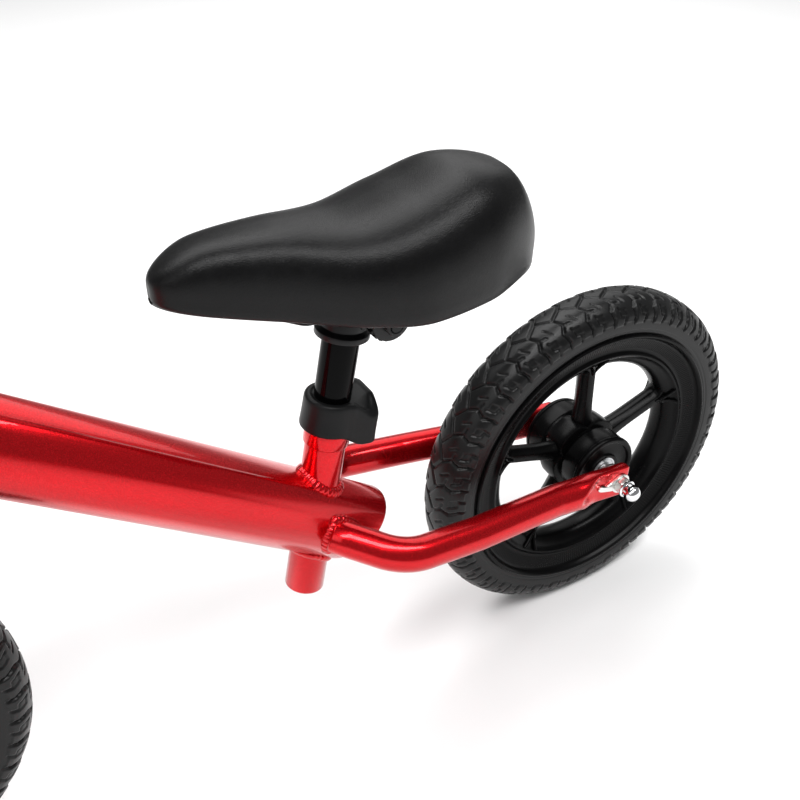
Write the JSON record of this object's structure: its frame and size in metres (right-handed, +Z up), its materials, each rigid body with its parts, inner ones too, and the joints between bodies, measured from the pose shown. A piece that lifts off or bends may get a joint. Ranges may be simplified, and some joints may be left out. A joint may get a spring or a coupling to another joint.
{
  "type": "balance bike",
  "caption": "Low children's balance bike with a steel tube frame, foam-tyred spoked wheels, padded height-adjustable saddle and turning fork with a handlebar.",
  "frame": {"origin": "on the ground, midway between the two axles, in the bike's middle plane", "axes": "+X forward, +Y to the rider's left, +Z up"},
  "size_m": [0.89, 0.408, 0.5794],
  "materials": {
    "frame_paint": "candy metallic red, glossy",
    "clamp_black": "satin black",
    "rubber_boot": "satin soft rubber",
    "grip_rubber": "matte rubber",
    "zinc": "zinc plated",
    "bearing_steel": "ground steel",
    "chrome_cap": "polished",
    "tyre_foam": "matte foamed rubber",
    "rim_plastic": "semi-gloss moulded plastic",
    "black_paint": "gloss black",
    "base_plastic": "matte moulded plastic",
    "saddle_cover": "grained imitation leather"
  },
  "bodies": {
    "frame": {"main_tube": "frame_paint", "head_tube": "frame_paint", "seat_tube": "frame_paint", "seat_tube_sleeve": "frame_paint", "left_stay": "frame_paint", "right_stay": "frame_paint", "seat_clamp_band": "clamp_black", "seat_clamp_bolt": "zinc", "seat_clamp_nut": "zinc", "seat_clamp_cover": "rubber_boot", "headset_cups": "zinc", "headset_ball_rings": "bearing_steel", "rear_axle": "zinc", "rear_spacers": "zinc", "rear_safety_washers": "zinc", "rear_axle_nuts": "zinc", "rear_axle_caps": "chrome_cap"},
    "rear_wheel": {"rear_tyre": "tyre_foam", "rear_rim": "rim_plastic", "rear_bearings": "bearing_steel"},
    "seat_post": {"seat_post": "black_paint", "saddle_clamp_core": "clamp_black", "saddle_clamp_bolt": "clamp_black", "saddle_clamp_nuts": "clamp_black"},
    "saddle": {"saddle_clamp_jaws": "clamp_black", "saddle_rails": "black_paint", "saddle_base": "base_plastic", "saddle_pad": "saddle_cover"},
    "fork": {"fork_steerer": "frame_paint", "left_fork_leg": "frame_paint", "right_fork_leg": "frame_paint", "fork_crown_race": "zinc", "headset_top_race": "zinc", "headset_locknut": "zinc", "front_axle": "zinc", "front_spacers": "zinc", "front_safety_washers": "zinc", "front_axle_nuts": "zinc", "front_axle_caps": "chrome_cap"},
    "front_wheel": {"front_tyre": "tyre_foam", "front_rim": "rim_plastic", "front_bearings": "bearing_steel"},
    "stem": {"stem": "clamp_black", "stem_wedge": "zinc", "stem_bolt": "zinc", "stem_clamp_bolt": "zinc", "stem_clamp_nut": "zinc"},
    "handlebar": {"handlebar": "black_paint", "left_grip": "grip_rubber", "right_grip": "grip_rubber"}
  },
  "joints": [
    {"name": "rear_wheel_spin", "type": "hinge", "parent": "frame", "child": "rear_wheel", "pos_m": [-0.3, 0, 0.145], "axis": [0, 1, 0], "continuous": true},
    {"name": "steering", "type": "hinge", "parent": "frame", "child": "fork", "pos_m": [0.275, 0, 0.145], "axis": [-0.342, 0, 0.9397], "continuous": true},
    {"name": "front_wheel_spin", "type": "hinge", "parent": "fork", "child": "front_wheel", "pos_m": [0.3, 0, 0.145], "axis": [0, 1, 0], "continuous": true},
    {"name": "seat_height", "type": "slide", "parent": "frame", "child": "seat_post", "axis": [-0.1874, 0, 0.9823], "range_m": [-0.032, 0.055]},
    {"name": "saddle_tilt", "type": "hinge", "parent": "seat_post", "child": "saddle", "pos_m": [-0.1045, 0, 0.342], "axis": [0, 1, 0], "range_deg": [-12, 12]},
    {"name": "handlebar_height", "type": "slide", "parent": "fork", "child": "stem", "axis": [-0.342, 0, 0.9397], "range_m": [-0.03, 0.045]},
    {"name": "handlebar_tilt", "type": "hinge", "parent": "stem", "child": "handlebar", "pos_m": [0.18553, 0, 0.50192], "axis": [0, 1, 0], "range_deg": [-20, 20]}
  ]
}
